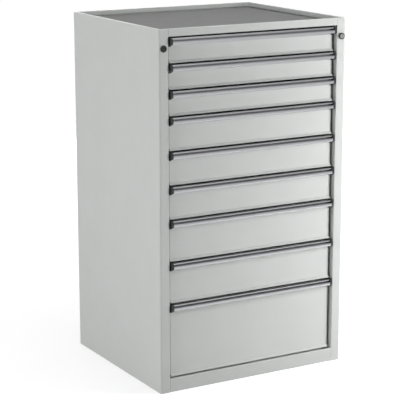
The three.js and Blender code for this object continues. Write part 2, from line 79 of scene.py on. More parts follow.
# %% [markdown]
# ## The camera
#
# The picture looks at the left front corner from a little above the top. The camera's place, its
# turn to the right and its tilt were fitted to the cabinet's corners. It could also stand level
# with a shifted lens, which keeps upright edges parallel, but the other views of the model keep
# that shift and would lose the cabinet, so the lens is long and only tilted a little.

# %% Place the camera
LENS_MM = 131.9
SENSOR_MM = 36.0
CAMERA_PLACE = (-2.3151, -3.9832, 1.5529)
CAMERA_TURN = 30.165
CAMERA_TILT = 13.257
LEVEL = 90.0  # an unturned camera looks straight down

camera = bpy.data.objects.new("camera", bpy.data.cameras.new("camera"))
bpy.context.scene.collection.objects.link(camera)
camera.data.lens = LENS_MM
camera.data.sensor_width = SENSOR_MM
camera.location = CAMERA_PLACE
camera.rotation_euler = (
    math.radians(LEVEL - CAMERA_TILT),
    0.0,
    math.radians(-CAMERA_TURN),
)
bpy.context.scene.camera = camera
print("camera", camera.location, "lens", camera.data.lens)

# %% [markdown]
# ## Floor and light
#
# The cabinet stands on a pale studio floor. A wide, flat floor shows the contact shadow. A glow
# that only the camera and mirrors see brings it up to the white of the background, weakly near
# the cabinet, where the lamps light the floor too, and fully far away. The world is a soft light
# from all sides. Seen directly it is white round the horizon and darker towards the ceiling, and
# that dark part is what gives the shiny grip bars and the lock their shading. A sweep of white
# paper would do the same for one view, but it would stand in the way of the others.

# %% Node helpers
def node(tree, kind, values=None, **settings):
    """Adds a node. Values go to its inputs: a socket is linked, and a number or colour is set."""
    made = tree.nodes.new(kind)
    for key, value in settings.items():
        setattr(made, key, value)
    for key, value in (values or {}).items():
        if isinstance(value, bpy.types.NodeSocket):
            tree.links.new(value, made.inputs[key])
        else:
            made.inputs[key].default_value = value
    return made


def maths(tree, operation, first, second):
    """One operation on two values."""
    return node(tree, "ShaderNodeMath", {0: first, 1: second}, operation=operation).outputs[0]


def mapped(tree, value, from_low, from_high, to_low, to_high):
    """A value between from_low and from_high brought to the range to_low to to_high."""
    ends = {"From Min": from_low, "From Max": from_high, "To Min": to_low, "To Max": to_high}
    return node(tree, "ShaderNodeMapRange", {"Value": value, **ends}).outputs[0]


def seen_directly(tree):
    """1 for rays from the camera, and for those that a mirror or glass passes on."""
    rays = node(tree, "ShaderNodeLightPath").outputs
    first = maths(tree, "MAXIMUM", rays["Is Camera Ray"], rays["Is Glossy Ray"])
    return maths(tree, "MAXIMUM", first, rays["Is Transmission Ray"])


# %% World
WORLD_LIGHT = 0.04
HORIZON_TOP = 0.12
CEILING_FOOT = 0.45
CEILING_TONE = 0.22
WHITE = (1, 1, 1, 1)

world = bpy.data.worlds.new("studio")
world.use_nodes = True
bpy.context.scene.world = world
tree = world.node_tree
tree.nodes.clear()
ray = node(tree, "ShaderNodeSeparateXYZ", {0: node(tree, "ShaderNodeTexCoord").outputs["Generated"]})
ceiling = mapped(tree, ray.outputs["Z"], HORIZON_TOP, CEILING_FOOT, 1.0, CEILING_TONE)
level = mapped(tree, seen_directly(tree), 0.0, 1.0, WORLD_LIGHT, ceiling)
sky = node(tree, "ShaderNodeBackground", {"Color": WHITE, "Strength": level})
node(tree, "ShaderNodeOutputWorld", {"Surface": sky.outputs[0]})
print("world light", WORLD_LIGHT, "and ceiling", CEILING_TONE, "of white")

# %% Floor
FLOOR_REACH = 30.0
FLOOR_TONE = 0.65
GLOW_NEAR, GLOW_FAR = 0.6, 1.0
GLOW_FROM, GLOW_TO = 1.2, 3.5

floor_mesh = bpy.data.meshes.new("floor")
floor_corners = [(-1, -1), (1, -1), (1, 1), (-1, 1)]
floor_mesh.from_pydata(
    [(x * FLOOR_REACH, y * FLOOR_REACH, 0) for x, y in floor_corners], [], [(0, 1, 2, 3)]
)
floor = bpy.data.objects.new("floor", floor_mesh)
bpy.context.scene.collection.objects.link(floor)
floor_finish = bpy.data.materials.new("studio_floor")
floor_finish.use_nodes = True
tree = floor_finish.node_tree
tree.nodes.clear()
matt = node(tree, "ShaderNodeBsdfDiffuse", {"Color": (FLOOR_TONE, FLOOR_TONE, FLOOR_TONE, 1)})
spot = node(tree, "ShaderNodeTexCoord").outputs["Object"]
away = node(tree, "ShaderNodeVectorMath", {0: spot}, operation="LENGTH").outputs["Value"]
glow = mapped(tree, away, GLOW_FROM, GLOW_TO, GLOW_NEAR, GLOW_FAR)
share = maths(tree, "MULTIPLY", seen_directly(tree), glow)
shine = node(tree, "ShaderNodeEmission", {"Color": WHITE, "Strength": share})
whole = node(tree, "ShaderNodeAddShader", {0: matt.outputs[0], 1: shine.outputs[0]})
node(tree, "ShaderNodeOutputMaterial", {"Surface": whole.outputs[0]})
floor_mesh.materials.append(floor_finish)
print("floor", 2 * FLOOR_REACH, "m wide")

# %% [markdown]
# The lamps are soft boxes, as in a studio. One at the right front makes the front panels brighter
# from left to right, two more from the left even out the side and reach into the gaps, and one
# overhead lifts the rim and the edges. One at the right and one behind light the sides that only
# other views show.

# %% Lamps
LAMPS = (  # name, place, the point that it faces, (width, height), watts, seen in mirrors
    ("right_front_lamp", (1.2, -1.15, 0.76), (0.15, -0.26, 0.65), (0.4, 1.2), 24.5, False),
    ("left_front_lamp", (-1.8, -3.1, 1.8), (0.0, -0.26, 0.6), (1.6, 1.6), 3.5, True),
    ("left_lamp", (-2.85, -0.5, 0.75), (-0.3, -0.05, 0.5), (2.0, 1.4), 43.0, True),
    ("top_lamp", (0.1, -0.1, 2.3), (0.0, 0.0, 1.0), (1.4, 1.4), 25.0, True),
    ("right_lamp", (3.0, 1.3, 1.3), (0.3, 0.1, 0.5), (2.0, 2.4), 10.0, True),
    ("back_lamp", (0.2, 3.4, 1.3), (0.0, 0.27, 0.5), (2.4, 2.4), 40.0, True),
)


def lamp(name, place, aim, size, watts, mirrored):
    """A soft box at a place, turned to face a point. One that stands close is kept out of
    mirrors, as a photographer does with a flag, so that metal isn't burnt out."""
    light = bpy.data.lights.new(name, "AREA")
    light.shape = "RECTANGLE"
    light.size, light.size_y = size
    light.energy = watts
    box = bpy.data.objects.new(name, light)
    box.location = place
    box.rotation_euler = (Vector(aim) - Vector(place)).to_track_quat("-Z", "Y").to_euler()
    box.visible_glossy = mirrored
    bpy.context.scene.collection.objects.link(box)


for row in LAMPS:
    lamp(*row)
print(len(LAMPS), "lamps")

# %% [markdown]
# ## Finishes
#
# Powder coat is baked resin: even in colour, satin, with the faint orange peel of the melted
# grains. A noise about a millimetre wide bends the light on it, and a much wider one changes the
# tone and the gloss by a few hundredths, as real coats do. One flat colour would be simpler, but
# it looks like plastic from near. All patterns read Object coordinates, so they stay on the piece
# when it moves.

# %% Finish helpers
MIX_A, MIX_B, MIX_RESULT = 6, 7, 2  # the colour sockets of a Mix node, which has one set per type


def new_finish(name):
    """An empty material with its node tree, a Principled shader and the piece's own coordinates."""
    material = bpy.data.materials.new(name)
    material.use_nodes = True
    tree = material.node_tree
    tree.nodes.clear()
    shader = node(tree, "ShaderNodeBsdfPrincipled")
    node(tree, "ShaderNodeOutputMaterial", {"Surface": shader.outputs[0]})
    place = node(tree, "ShaderNodeTexCoord").outputs["Object"]
    return material, tree, shader, place


def noise(tree, place, size_mm, detail=2.0):
    """Noise whose lumps are about size_mm wide."""
    values = {"Vector": place, "Scale": 1.0 / (size_mm * MM), "Detail": detail}
    return node(tree, "ShaderNodeTexNoise", values).outputs["Fac"]


def spread(tree, value, low=0.0, high=1.0, from_low=0.3, from_high=0.7):
    """Brings a pattern's usual values, from_low to from_high, to the range low to high."""
    return mapped(tree, value, from_low, from_high, low, high)


def tinted(tree, share, colour, darkest, lightest=1.0):
    """The colour times a value from darkest to lightest, by a pattern."""
    made = node(tree, "ShaderNodeMix", {0: share}, data_type="RGBA")
    made.inputs[MIX_A].default_value = (*(np.array(colour) * darkest), 1)
    made.inputs[MIX_B].default_value = (*(np.array(colour) * lightest), 1)
    return made.outputs[MIX_RESULT]


def bumped(tree, height, depth_mm, strength, under=None):
    """A normal that leans with a height pattern, depth_mm from its lowest to its highest."""
    values = {"Height": height, "Distance": depth_mm * MM, "Strength": strength}
    if under is not None:
        values["Normal"] = under
    return node(tree, "ShaderNodeBump", values).outputs[0]


def wire(tree, shader, **sockets):
    """Links or sets a shader's sockets by name, with _ for a space."""
    for key, value in sockets.items():
        socket = shader.inputs[key.replace("_", " ")]
        if isinstance(value, bpy.types.NodeSocket):
            tree.links.new(value, socket)
        else:
            socket.default_value = value


# %% Paint
def powder_coat(name, colour, peel_mm, gloss):
    """Satin powder coat in one colour."""
    material, tree, shader, place = new_finish(name)
    tone = spread(tree, noise(tree, place, size_mm=90.0, detail=3.0))
    cloud = spread(tree, noise(tree, place, size_mm=14.0, detail=3.0), *gloss)
    wire(
        tree,
        shader,
        Base_Color=tinted(tree, tone, colour, darkest=0.985, lightest=1.012),
        Roughness=cloud,
        Normal=bumped(tree, noise(tree, place, peel_mm), depth_mm=0.012, strength=0.6),
    )
    return material


CASE_GREY = (0.578, 0.598, 0.583)
FRONT_GREY = (0.606, 0.625, 0.610)
finishes = {
    "case_paint": powder_coat("case_paint", CASE_GREY, peel_mm=1.1, gloss=(0.36, 0.46)),
    "front_paint": powder_coat("front_paint", FRONT_GREY, peel_mm=0.9, gloss=(0.34, 0.43)),
    "drawer_paint": powder_coat("drawer_paint", CASE_GREY, peel_mm=1.2, gloss=(0.42, 0.52)),
}
print("paints:", ", ".join(finishes))

# %% [markdown]
# Metal is told apart by its gloss. The grip bar is extruded and anodised, so the fine lines of
# the die run along it: a noise stretched a hundredfold along X. Zinc plating shows soft spangles
# that change the gloss from grain to grain. The lock is plated and polished, with hair scratches.
# A picture of real metal would repeat and would need unwrapped pieces. Patterns from numbers don't.

# %% Metals
def along_x(tree, place, stretch):
    """Coordinates squeezed along X, so that a pattern on them is stretched along X."""
    values = {"Vector": place, "Scale": (1.0 / stretch, 1, 1)}
    return node(tree, "ShaderNodeMapping", values).outputs[0]


def anodised(name, colour):
    """Extruded aluminium with a matt clear coat."""
    material, tree, shader, place = new_finish(name)
    lines = noise(tree, along_x(tree, place, stretch=160.0), size_mm=0.35, detail=3.0)
    wide = noise(tree, along_x(tree, place, stretch=40.0), size_mm=2.5)
    wire(
        tree,
        shader,
        Base_Color=tinted(tree, spread(tree, wide), colour, darkest=0.95),
        Metallic=1.0,
        Roughness=spread(tree, lines, low=0.24, high=0.36),
        Normal=bumped(tree, lines, depth_mm=0.006, strength=0.5),
    )
    return material


def zinc_plated(name, colour, spangle_mm=9):
    """Dull zinc on sheet steel, with spangles."""
    material, tree, shader, place = new_finish(name)
    values = {"Vector": place, "Scale": 1.0 / (spangle_mm * MM)}
    grains = node(tree, "ShaderNodeTexVoronoi", values).outputs["Color"]
    grain = node(tree, "ShaderNodeSeparateColor", {0: grains}).outputs[0]
    tone = spread(tree, grain, from_low=0, from_high=1)
    wire(
        tree,
        shader,
        Base_Color=tinted(tree, tone, colour, darkest=0.9, lightest=1.05),
        Metallic=1.0,
        Roughness=spread(tree, grain, low=0.32, high=0.5, from_low=0, from_high=1),
        Normal=bumped(tree, noise(tree, place, size_mm=0.8), depth_mm=0.008, strength=0.5),
    )
    return material


def nickel_plated(name, colour):
    """Polished nickel with fine scratches."""
    material, tree, shader, place = new_finish(name)
    hair = noise(tree, along_x(tree, place, stretch=12.0), size_mm=0.25, detail=4.0)
    wire(
        tree,
        shader,
        Base_Color=tinted(tree, spread(tree, hair), colour, darkest=0.93),
        Metallic=1.0,
        Roughness=spread(tree, hair, low=0.20, high=0.34),
        Normal=bumped(tree, hair, depth_mm=0.003, strength=0.4),
    )
    return material


finishes["handle_aluminium"] = anodised("handle_aluminium", (0.45, 0.453, 0.468))
finishes["zinc_steel"] = zinc_plated("zinc_steel", (0.60, 0.615, 0.63))
finishes["lock_nickel"] = nickel_plated("lock_nickel", (0.56, 0.56, 0.555))
print("paints and metals:", ", ".join(finishes))

# %% [markdown]
# The caps and the plug are moulded in a spark-eroded tool, which leaves a fine leathery grain. The
# mat is matt rubber: a grain of pebbles, a slightly cloudy tone and hardly any gloss. Both grains
# are finer than any mesh here, so they only bend the light. Edges and bends are real shapes.

# %% Plastic and rubber
def moulded(name, colour):
    """Black plastic with the fine grain of its mould."""
    material, tree, shader, place = new_finish(name)
    grain = noise(tree, place, size_mm=0.5)
    tone = spread(tree, noise(tree, place, size_mm=6.0))
    wire(
        tree,
        shader,
        Base_Color=tinted(tree, tone, colour, darkest=0.9, lightest=1.25),
        Roughness=spread(tree, grain, low=0.42, high=0.56),
        Normal=bumped(tree, grain, depth_mm=0.02, strength=0.6),
    )
    return material


def pebbled_rubber(name, colour, pebble_mm=1.5):
    """Grey rubber sheet with a pebble grain."""
    material, tree, shader, place = new_finish(name)
    values = {"Vector": place, "Scale": 1.0 / (pebble_mm * MM)}
    voronoi = node(tree, "ShaderNodeTexVoronoi", values, feature="SMOOTH_F1")
    pebbles = voronoi.outputs["Distance"]
    cloud = spread(tree, noise(tree, place, size_mm=60.0, detail=4.0))
    fine = bumped(tree, noise(tree, place, size_mm=0.4), depth_mm=0.02, strength=0.4)
    wire(
        tree,
        shader,
        Base_Color=tinted(tree, cloud, colour, darkest=0.95, lightest=1.04),
        Roughness=spread(tree, pebbles, low=0.72, high=0.86, from_low=0, from_high=1),
        Specular_IOR_Level=0.25,
        Normal=bumped(tree, pebbles, depth_mm=-0.08, strength=0.5, under=fine),
    )
    return material


finishes["black_plastic"] = moulded("black_plastic", (0.022, 0.0225, 0.0225))
finishes["mat_rubber"] = pebbled_rubber("mat_rubber", (0.150, 0.150, 0.151))
print("all finishes:", ", ".join(finishes))

# %% [markdown]
# ## Surfaces from numbers
#
# Every piece starts as an array of points. A profile is drawn as corners with radii, as on a
# bending plan, and the corners are turned to arcs. A grid of points then becomes a mesh: each
# row is joined to the next by four-sided faces. A Bevel modifier could round the corners too, but
# arcs that are drawn keep the radius of each bend, and the mesh stays a clean grid.

# %% Rounded profiles
TINY = 1e-9  # keeps a division by zero out
HARDLY = 1e-5  # the least half angle of a corner, in radians
BEND_STEPS = 6


def unit(rows):
    """Each row divided by its own length."""
    return rows / np.maximum(np.linalg.norm(rows, axis=-1, keepdims=True), TINY)


def quarter(steps):
    """The angles of a quarter turn in even steps."""
    return np.linspace(0, np.pi / 2, steps + 1)


def rounded(corners, closed=True, steps=BEND_STEPS):
    """A line of (u, v, radius) corners with round bends.

    The bend's centre lies on the line that halves the corner, radius / sin(half angle) from it.
    A spoke turns from one straight edge to the other in even steps: at share s of the turn t it
    is (sin((1 - s) t) first + sin(s t) last) / sin(t).
    """
    corners = np.array(corners, float)
    places, radii = corners[:, :2], corners[:, 2]
    if not closed:
        radii[[0, -1]] = 0
    back = unit(np.roll(places, 1, axis=0) - places)
    ahead = unit(np.roll(places, -1, axis=0) - places)
    half = np.arccos(np.clip((back * ahead).sum(axis=1), -1, 1)) / 2
    half = np.clip(half, HARDLY, np.pi / 2 - HARDLY)
    centres = places + unit(back + ahead) * (radii / np.sin(half))[:, None]
    reach = (radii / np.tan(half))[:, None]
    first = (places + back * reach - centres)[:, None]
    last = (places + ahead * reach - centres)[:, None]
    turn = (np.pi - 2 * half)[:, None, None]
    share = np.linspace(0, 1, steps + 1)[None, :, None]
    arcs = (np.sin((1 - share) * turn) * first + np.sin(share * turn) * last) / np.sin(turn)
    arcs += centres[:, None]
    wanted = np.ones(arcs.shape[:2], bool)
    wanted[radii == 0, 1:] = False
    return arcs[wanted]


def inset(outline, distance):
    """A closed outline moved inwards: each point goes along the mean of its two edges' normals."""
    before = unit(outline - np.roll(outline, 1, axis=0))
    after = unit(np.roll(outline, -1, axis=0) - outline)
    along = unit(before + after)
    inward = np.stack([-along[:, 1], along[:, 0]], axis=1)
    area = (outline[:, 0] * np.roll(outline[:, 1], -1)).sum()
    area -= (outline[:, 1] * np.roll(outline[:, 0], -1)).sum()
    return outline + inward * np.sign(area) * distance


print("a bend has", BEND_STEPS + 1, "points")

# %% Grids to meshes
SHARP_DEGREES = 32


def bands(rows, columns, ring=False, loop=False):
    """Faces (i, j), (i, j + 1), (i + 1, j + 1), (i + 1, j) of a grid. A ring joins its last
    column to the first, and a loop joins its last row to the first."""
    i, j = np.meshgrid(
        np.arange(rows if loop else rows - 1),
        np.arange(columns if ring else columns - 1),
        indexing="ij",
    )
    up, across = (i + 1) % rows, (j + 1) % columns
    corners = [i * columns + j, i * columns + across, up * columns + across, up * columns + j]
    return np.stack(corners, axis=-1).reshape(-1, 4)


def new_piece(name, points, faces):
    """Writes points in millimetres and faces into a new object that stands at the origin."""
    mesh = bpy.data.meshes.new(name)
    mesh.from_pydata((np.reshape(points, (-1, 3)) * MM).tolist(), [], faces)
    piece = bpy.data.objects.new(name, mesh)
    bpy.context.scene.collection.objects.link(piece)
    return piece


def write_modifiers(piece):
    """Puts what the modifiers make into the piece's own mesh."""
    graph = bpy.context.evaluated_depsgraph_get()
    mesh = bpy.data.meshes.new_from_object(piece.evaluated_get(graph))
    mesh.name = piece.name
    piece.modifiers.clear()
    piece.data = mesh


def settle(piece):
    """Turns the faces outwards and shades the piece: smooth over bends, sharp over edges."""
    if piece.modifiers:
        write_modifiers(piece)
    shell = bmesh.new()
    shell.from_mesh(piece.data)
    bmesh.ops.recalc_face_normals(shell, faces=shell.faces)
    open_edges = sum(not edge.is_manifold for edge in shell.edges)
    shell.to_mesh(piece.data)
    shell.free()
    piece.data.shade_smooth()
    piece.data.set_sharp_from_angle(angle=math.radians(SHARP_DEGREES))
    weigh = piece.modifiers.new("flat faces lead", "WEIGHTED_NORMAL")
    weigh.keep_sharp = True
    write_modifiers(piece)
    if open_edges:
        print("open edges on", piece.name, open_edges)
    return piece


print("a grid of 3 rows and 4 columns has", len(bands(3, 4)), "faces")

# %% [markdown]
# Folded sheet is one seen face with a thickness behind it. The face is a grid, cells that the
# blank doesn't have are left out, and the Solidify modifier adds the steel behind. Both faces
# could be drawn, but the modifier keeps them parallel round every bend. A massive piece is a row
# of rings instead, each joined to the next and the two ends closed.

# %% Sheets and ringed bodies
def carried(profile, stations, axis):
    """A grid: the profile's (u, v) pairs at every station along one axis (0, 1 or 2)."""
    return np.array([np.insert(profile, axis, station, axis=1) for station in stations], float)


def stacked(outline, stations, axis, steps_in):
    """Rings of one outline at stations along an axis, each drawn in by its own step."""
    return np.array(
        [
            np.insert(inset(outline, step), axis, station, axis=1)
            for station, step in zip(stations, steps_in)
        ]
    )


def thicken(piece, thickness, quality=True):
    """Adds the steel behind the seen face of a folded sheet."""
    wall = piece.modifiers.new("thickness", "SOLIDIFY")
    wall.thickness = thickness * MM
    wall.offset = -1
    wall.use_even_offset = True
    wall.use_quality_normals = quality
    return settle(piece)


def sheet(name, surface, thickness, kept=None, turn_over=False):
    """A folded sheet: a grid of its seen face, with the thickness behind that face."""
    faces = bands(*surface.shape[:2])
    if kept is not None:
        faces = faces[kept.ravel()]
    if turn_over:
        faces = faces[:, ::-1]
    used, faces = np.unique(faces, return_inverse=True)
    faces = faces.reshape(-1, 4)
    return thicken(new_piece(name, surface.reshape(-1, 3)[used], faces.tolist()), thickness)


def ringed(name, rings, loop=False):
    """A body of rings (row, point, xyz). Unless the rows close in a loop, both ends get a face."""
    rows, around = rings.shape[:2]
    faces = bands(rows, around, ring=True, loop=loop).tolist()
    if not loop:
        faces.append(list(range(around)))
        faces.append(list(range((rows - 1) * around, rows * around)))
    return settle(new_piece(name, rings, faces))


def fit(piece, body, slot, *stands_for):
    """Gives a piece its finish and its body, and hides the CAD nodes that it stands for."""
    piece.data.materials.clear()
    piece.data.materials.append(finishes[slot])
    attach(piece, body)
    if stands_for:
        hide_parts(*stands_for)


# %% [markdown]
# ## The case
#
# Each side of the case is one blank. Seen from above it starts beside the drawers, turns round
# the post's edge, runs across the post, goes round the front corner in a wide bend, and runs back
# to the rear flange. Along the top the same sheet folds over into the rim and down into the tray,
# where its edge stops short of the mat, so that a dark line runs round the mat. Both ways at once
# make a grid: one parameter runs round the plan, the other up the section. The rim's inner line
# is the outer line pushed in, and the section runs between the two. Boxes with bevelled edges
# would be quicker, but they show seams where the real blank is only bent.

# %% Case sizes
low, high = box_mm("right_side_panel")
POST_X, FACE_Y = low[0], low[1]
SIDE_X, BACK_Y, TOP_Z = high
CASE_SHEET = 1.5
SEAT_GAP = 0.3  # what the CAD model leaves free between two nodes that touch
CORNER_RADIUS = 6.0
BEND = 2.2
POST_EDGE = 1.6
POST_RETURN = 21.0
REAR_FLANGE = 25.0
RIM_WIDTH = 8.0
HEM_WIDTH = 4.5
RIM_FOOT = TOP_Z - 13.2
POST_TOP = TOP_Z - 20.8
LOCK_X, LOCK_Z, LOCK_HOLE = 300.5, TOP_Z - 55.0, 8.3
print("case half width", SIDE_X, "top", TOP_Z, "front", FACE_Y, "back", BACK_Y, "post", POST_X)

# %% Plan of a side
HOLE_CELLS = 8
CORNER_STEPS = 10
RIM_STOPS = (6.6, 6.5)  # the last two stations before the back, between which the rim ends
HOLE_SIDE = np.linspace(-LOCK_HOLE, LOCK_HOLE, HOLE_CELLS + 1)


def plan_of_side():
    """Stations round the plan of the right side, with extra ones across the lock's hole and at the
    rim's end. Returns the points, and how many make up the flange, the post and the corner."""
    flange_end = (POST_X, FACE_Y + POST_RETURN, 0)
    bend = rounded([flange_end, (POST_X, FACE_Y, POST_EDGE), (SIDE_X, FACE_Y, 0)], closed=False)[:-1]
    across = HOLE_SIDE + LOCK_X
    post = np.stack([across, np.full_like(across, FACE_Y)], axis=1)
    corner = rounded(
        [(POST_X, FACE_Y, 0), (SIDE_X, FACE_Y, CORNER_RADIUS), (SIDE_X, BACK_Y, 0)],
        closed=False,
        steps=CORNER_STEPS,
    )[1:-1]
    rim_end = [(SIDE_X, BACK_Y - stop) for stop in RIM_STOPS]
    rear = rounded(
        [(SIDE_X, FACE_Y, 0), (SIDE_X, BACK_Y, BEND), (SIDE_X - REAR_FLANGE, BACK_Y, 0)],
        closed=False,
    )[1:]
    return np.concatenate([bend, post, corner, rim_end, rear]), len(bend), len(post), len(corner)


print(len(plan_of_side()[0]), "stations round the plan")

# %% [markdown]
# The hole for the lock could be cut with a Boolean modifier, which leaves long thin faces. Here a
# square patch of the grid is pulled into a circle instead, and the cells inside it are left out.

# %% Side panels
WALL_LEVELS = (0, 4, 45, 250, 500, 750, 950)
HOLE_MARGIN = 12
LEAST_FLAT = 0.05  # what stays flat between two bends of a narrow rim


def side_surface():
    """The right side's seen face. Wall point = outer line at height z. Rim point = outer line + q
    times the way to the inner line, where q and z follow two round bends and the flat between.
    Returns the grid and which of its cells the blank has."""
    plan, flange_count, post_count, corner_count = plan_of_side()
    inner_x = np.minimum(plan[:, 0], SIDE_X - RIM_WIDTH)
    inner_y = np.maximum(plan[:, 1], FACE_Y + HEM_WIDTH)
    inner = np.stack([inner_x, inner_y], axis=1)
    width = np.linalg.norm(inner - plan, axis=1)
    inward = unit(inner - plan)
    bend = np.minimum(BEND, width / 2 - LEAST_FLAT)[:, None]

    below_hole = [*WALL_LEVELS, LOCK_Z - HOLE_MARGIN]
    levels = np.concatenate([below_hole, HOLE_SIDE + LOCK_Z, [LOCK_Z + HOLE_MARGIN, POST_TOP]])
    turn = quarter(BEND_STEPS)[None]
    up_q, up_z = bend * (1 - np.cos(turn)), TOP_Z - bend * (1 - np.sin(turn))
    down_q = width[:, None] - bend * (1 - np.sin(turn))
    down_z = TOP_Z - bend * (1 - np.cos(turn))
    foot_q, foot_z = width[:, None], np.full((len(plan), 1), RIM_FOOT)
    q = np.concatenate([np.zeros((len(plan), len(levels))), up_q, down_q, foot_q], axis=1)
    z = np.concatenate([np.tile(levels, (len(plan), 1)), up_z, down_z, foot_z], axis=1)
    surface = np.empty(q.shape + (3,))
    surface[..., :2] = plan[:, None] + inward[:, None] * q[..., None]
    surface[..., 2] = z

    first_row, first_level = flange_count, len(below_hole)
    patch = surface[first_row:, first_level:][: HOLE_CELLS + 1, : HOLE_CELLS + 1]
    a, b = patch[..., 0] - LOCK_X, patch[..., 2] - LOCK_Z
    size = np.maximum(np.abs(a), np.abs(b))
    stretch = np.where(size > 0, size / np.maximum(np.hypot(a, b), TINY), 1)
    patch[..., 0], patch[..., 2] = LOCK_X + a * stretch, LOCK_Z + b * stretch

    kept = np.ones((q.shape[0] - 1, q.shape[1] - 1), bool)
    kept[first_row:, first_level:][:HOLE_CELLS, :HOLE_CELLS] = False
    kept[0, len(levels) - 1 :] = False
    kept[flange_count + post_count + corner_count :, len(levels) :] = False
    return surface, kept


for word, side in (("left", -1), ("right", 1)):
    surface, kept = side_surface()
    surface[..., 0] *= side
    piece = sheet(f"{word}_side_sheet", surface, CASE_SHEET, kept, turn_over=side > 0)
    fit(piece, "cabinet", "case_paint", f"{word}_side_panel")
    print(piece.name, len(piece.data.polygons), "faces")

# %% [markdown]
# The two rails across the front and the back panel are plain bends: an open profile carried from
# one post to the other. That is all that a folding press does, so no other tool is needed. The
# profiles run so that the steel lies on their hidden side. Behind its edge the lower rail dips
# into a gutter, so the gap under the lowest drawer looks dark.

# %% Rails and back
RAIL_X = POST_X - SEAT_GAP
RIDGE_DEPTH, GUTTER_DEPTH = 5.4, 9.0
GUTTER_BEND, RIDGE_BEND, NOSE_BEND = 1.6, 2.0, 3.2
CROSS_STATIONS = 9
rail_low, rail_high = box_mm("top_front_rail")
STACK_TOP = rail_low[2]
_, bottom_high = box_mm("bottom_front_rail")
_, back_high = box_mm("back_panel")
BACK_FACE = back_high[1]

top_rail = [
    (FACE_Y + HEM_WIDTH, RIM_FOOT, 0),
    (FACE_Y + HEM_WIDTH, TOP_Z, BEND),
    (FACE_Y, TOP_Z, BEND),
    (FACE_Y, STACK_TOP, BEND),
    (rail_high[1], STACK_TOP, 0),
]
ridge, gutter = FACE_Y + RIDGE_DEPTH, bottom_high[2] - GUTTER_DEPTH
bottom_rail = [
    (bottom_high[1] - CASE_SHEET, bottom_high[2], 0),
    (bottom_high[1] - CASE_SHEET, gutter, GUTTER_BEND),
    (ridge, gutter, GUTTER_BEND),
    (ridge, bottom_high[2], RIDGE_BEND),
    (FACE_Y, bottom_high[2], NOSE_BEND),
    (FACE_Y, 0, BEND),
    (bottom_high[1], 0, 0),
]
back = [
    (BACK_FACE, 0, 0),
    (BACK_FACE, TOP_Z, BEND),
    (BACK_FACE - HEM_WIDTH, TOP_Z, BEND),
    (BACK_FACE - HEM_WIDTH, RIM_FOOT, 0),
]
for name, corners, reach, stands_for in (
    ("top_rail_sheet", top_rail, RAIL_X, "top_front_rail"),
    ("bottom_rail_sheet", bottom_rail, RAIL_X, "bottom_front_rail"),
    ("back_sheet", back, back_high[0], "back_panel"),
):
    stations = np.linspace(-reach, reach, CROSS_STATIONS)
    surface = carried(rounded(corners, closed=False), stations, axis=0)
    piece = sheet(name, surface, CASE_SHEET)
    fit(piece, "cabinet", "case_paint", stands_for)
    print(piece.name, len(piece.data.polygons), "faces")

# %% [markdown]
# ## The mat
#
# A loose rubber mat lies in the tray. Its cut edge is slightly round and its corners are trimmed.
# A thin box would do from afar, but its sharp edge would catch no light. So rings of a rounded
# rectangle climb its side and close over the top.

# %% Mat
RECTANGLE_STEPS = 4
LEAST_RADIUS = 0.4
HIDDEN_EDGE = 0.3  # the small edge on the side of a moulded or cut piece that nobody sees
MAT_EDGE = 0.6
MAT_EDGE_STEPS = 4
MAT_CORNER = 4.0
MAT_BORDER = 2.0  # the last ring lies this far inside the edge


def rectangle(half_x, low_v, high_v, radius, steps=RECTANGLE_STEPS):
    """A rounded rectangle, symmetrical in its first coordinate."""
    corners = [(-half_x, low_v), (half_x, low_v), (half_x, high_v), (-half_x, high_v)]
    return rounded([(u, v, radius) for u, v in corners], steps=steps)


def lying_rings(half_x, low_y, high_y, steps_in, heights, radius):
    """Rings in level planes: each is the rectangle drawn in by its own step at its own height."""
    rings = []
    for step, height in zip(steps_in, heights):
        corner = max(radius - step, LEAST_RADIUS)
        line = rectangle(half_x - step, low_y + step, high_y - step, corner)
        rings.append(np.insert(line, 2, height, axis=1))
    return np.array(rings)


mat_low, mat_high = box_mm("top_mat")
turn = quarter(MAT_EDGE_STEPS)
steps_in = [HIDDEN_EDGE, 0.0, *(MAT_EDGE * (1 - np.cos(turn))), MAT_EDGE + MAT_BORDER]
heights = [
    mat_low[2],
    mat_low[2] + HIDDEN_EDGE,
    *(mat_high[2] - MAT_EDGE * (1 - np.sin(turn))),
    mat_high[2],
]
rings = lying_rings(mat_high[0], mat_low[1], mat_high[1], steps_in, heights, MAT_CORNER)
mat = ringed("mat", rings)
fit(mat, "cabinet", "mat_rubber", "top_mat")
print("mat:", len(mat.data.polygons), "faces")

# %% [markdown]
# ## Drawer fronts
#
# A front is a shallow pan: the sheet folds back along both sides and along the top, and its foot
# leans forward in a narrow lip over the next grip bar. Two profiles make the grid. One runs
# across the front from flange to flange, the other from the top flange down to the lip, and the
# depths of the two add up, so that one sheet gets all its bends at once. The corners of the blank,
# where two flanges would meet, are notched. The lowest front ends a little higher, because the
# picture shows a wider gap under it.

# %% Fronts
FRONT_SHEET = 1.2
FRONT_BEND = 2.0
LIP_HEIGHT = 6.5
LIP_REACH = 5.0
LIP_BEND = 4.0
FOOT_RISE = 1.6
DRAWERS = range(1, 10)


